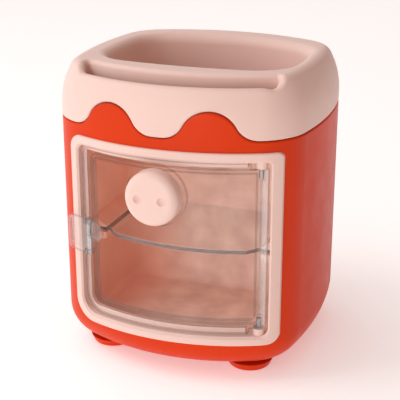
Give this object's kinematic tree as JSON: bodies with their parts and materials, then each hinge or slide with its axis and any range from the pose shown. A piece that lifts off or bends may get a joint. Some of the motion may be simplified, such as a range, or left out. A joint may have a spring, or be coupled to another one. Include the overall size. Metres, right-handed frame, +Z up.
{
  "type": "desk pen holder",
  "caption": "Rounded desk pen holder with a dripping cap, open pen compartments and a small cabinet behind a clear hinged door with a knob and clip latch.",
  "frame": {"origin": "on the desk under the middle of the overall box, knob included", "axes": "+Z up, front with the door towards -Y, +X to the viewer's right"},
  "size_m": [0.11, 0.1158, 0.127],
  "materials": {
    "red_plastic": "satin moulded plastic",
    "pink_plastic": "satin moulded plastic",
    "liner_plastic": "satin moulded plastic",
    "clear_plastic": "clear polished plastic",
    "steel": "plated"
  },
  "bodies": {
    "base": {"body_shell": "red_plastic", "drip_cap": "pink_plastic", "cabinet_liner": "liner_plastic", "door_frame": "pink_plastic", "feet": "red_plastic", "base_screws": "steel"},
    "door": {"door_panel": "clear_plastic", "hinge_pin_upper": "steel", "hinge_pin_lower": "steel", "door_knob": "pink_plastic", "knob_screw": "steel", "latch_pin": "steel"},
    "latch": {"latch_clip": "clear_plastic"},
    "shelf": {"shelf": "clear_plastic"}
  },
  "joints": [
    {"name": "door_hinge", "type": "hinge", "parent": "base", "child": "door", "pos_m": [0.0394, -0.03851, 0.05805], "axis": [0, 0, 1], "range_deg": [0, 90]},
    {"name": "latch_pivot", "type": "hinge", "parent": "door", "child": "latch", "pos_m": [-0.0324, -0.04619, 0.0569], "axis": [0, 0, 1], "range_deg": [0, 12]},
    {"name": "shelf_slide", "type": "slide", "parent": "base", "child": "shelf", "axis": [0, -1, 0], "range_m": [0, 0.003]}
  ]
}
